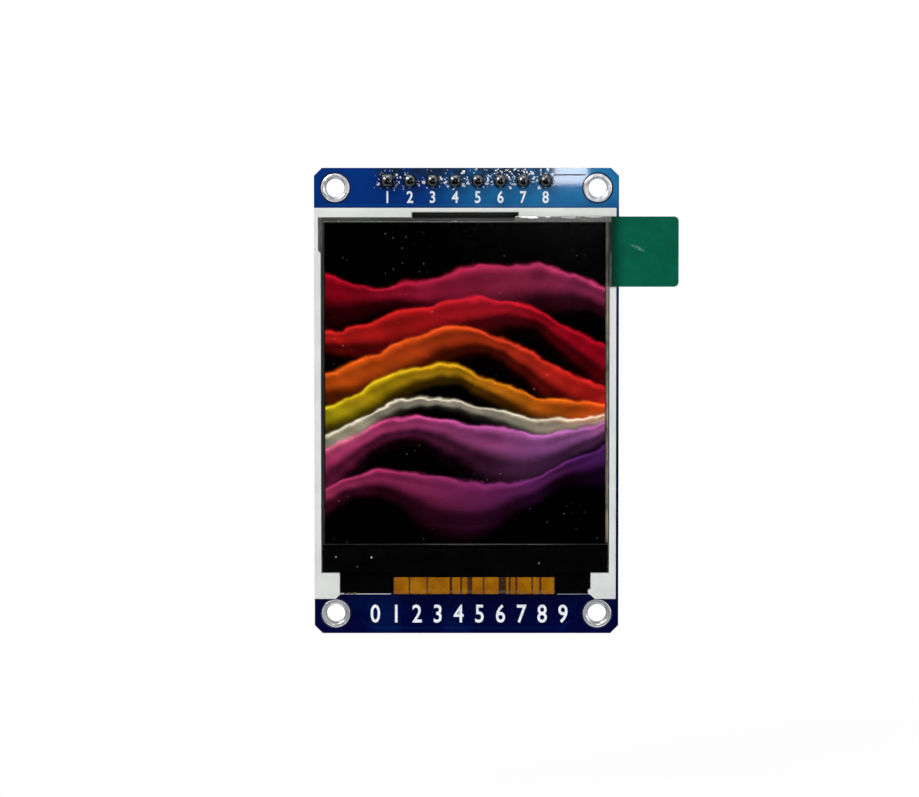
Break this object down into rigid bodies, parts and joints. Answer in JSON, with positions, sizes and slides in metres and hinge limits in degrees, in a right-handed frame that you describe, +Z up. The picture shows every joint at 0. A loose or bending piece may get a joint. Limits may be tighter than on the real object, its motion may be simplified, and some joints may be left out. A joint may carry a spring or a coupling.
{
  "type": "tft display module",
  "caption": "Small colour TFT display module: LCD panel in a white tray taped on a blue printed board, with a pin header behind and four plated mounting holes.",
  "frame": {"origin": "centre of the four mounting holes on the board's rear face, where it seats on its standoffs", "axes": "the screen faces -Y, +X is to the right as the screen is read, and +Z is up towards the pin header; +Y is along the mounting holes, away from the screen"},
  "size_m": [0.0408, 0.0128, 0.0524],
  "materials": {
    "blue_board": "glossy solder mask",
    "black_nylon": "matt moulded",
    "tinned_ring": "bright tin",
    "gold_pin": "gold flash",
    "solder": "glossy solder",
    "white_plastic": "satin moulded",
    "white_film": "satin",
    "clear_acrylic": "polished",
    "lamp_case": "satin",
    "lamp_strip": "satin",
    "prism_film": "fine prisms",
    "black_tape": "smooth",
    "polariser": "glossy",
    "panel_glass": "polished",
    "silicon": "polished",
    "amber_flex": "satin coverlay",
    "foam_tape": "soft",
    "clear_film": "glossy",
    "green_tab": "satin",
    "black_epoxy": "matt moulded",
    "tinned_lead": "tin",
    "tan_ceramic": "satin",
    "resistor_body": "satin"
  },
  "bodies": {
    "root": {"circuit_board": "blue_board", "header_housing": "black_nylon", "mounting_ring_1": "tinned_ring", "mounting_ring_2": "tinned_ring", "mounting_ring_3": "tinned_ring", "mounting_ring_4": "tinned_ring", "header_pin_1": "gold_pin", "header_pin_2": "gold_pin", "header_pin_3": "gold_pin", "header_pin_4": "gold_pin", "header_pin_5": "gold_pin", "header_pin_6": "gold_pin", "header_pin_7": "gold_pin", "header_pin_8": "gold_pin", "solder_joint_1": "solder", "solder_joint_2": "solder", "solder_joint_3": "solder", "solder_joint_4": "solder", "solder_joint_5": "solder", "solder_joint_6": "solder", "solder_joint_7": "solder", "solder_joint_8": "solder", "flex_solder": "solder", "backlight_frame": "white_plastic", "reflector_sheet": "white_film", "diffuser_film": "white_film", "light_guide": "clear_acrylic", "led_lamp_1": "lamp_case", "led_lamp_2": "lamp_case", "led_lamp_3": "lamp_case", "led_lamp_4": "lamp_case", "led_flex": "lamp_strip", "lower_prism_film": "prism_film", "upper_prism_film": "prism_film", "rim_tape": "black_tape", "driver_cover_tape": "black_tape", "rear_polariser": "polariser", "front_polariser": "polariser", "array_glass": "panel_glass", "filter_glass": "panel_glass", "driver_chip": "silicon", "flex_tail": "amber_flex", "mounting_tape_left": "foam_tape", "mounting_tape_right": "foam_tape", "protective_film": "clear_film", "pull_tab": "green_tab", "regulator_body": "black_epoxy", "transistor_body": "black_epoxy", "regulator_leads": "tinned_lead", "transistor_leads": "tinned_lead", "capacitor_1": "tan_ceramic", "capacitor_2": "tan_ceramic", "capacitor_3": "tan_ceramic", "resistor_1": "resistor_body", "resistor_2": "resistor_body", "resistor_3": "resistor_body", "resistor_4": "resistor_body"}
  },
  "joints": []
}
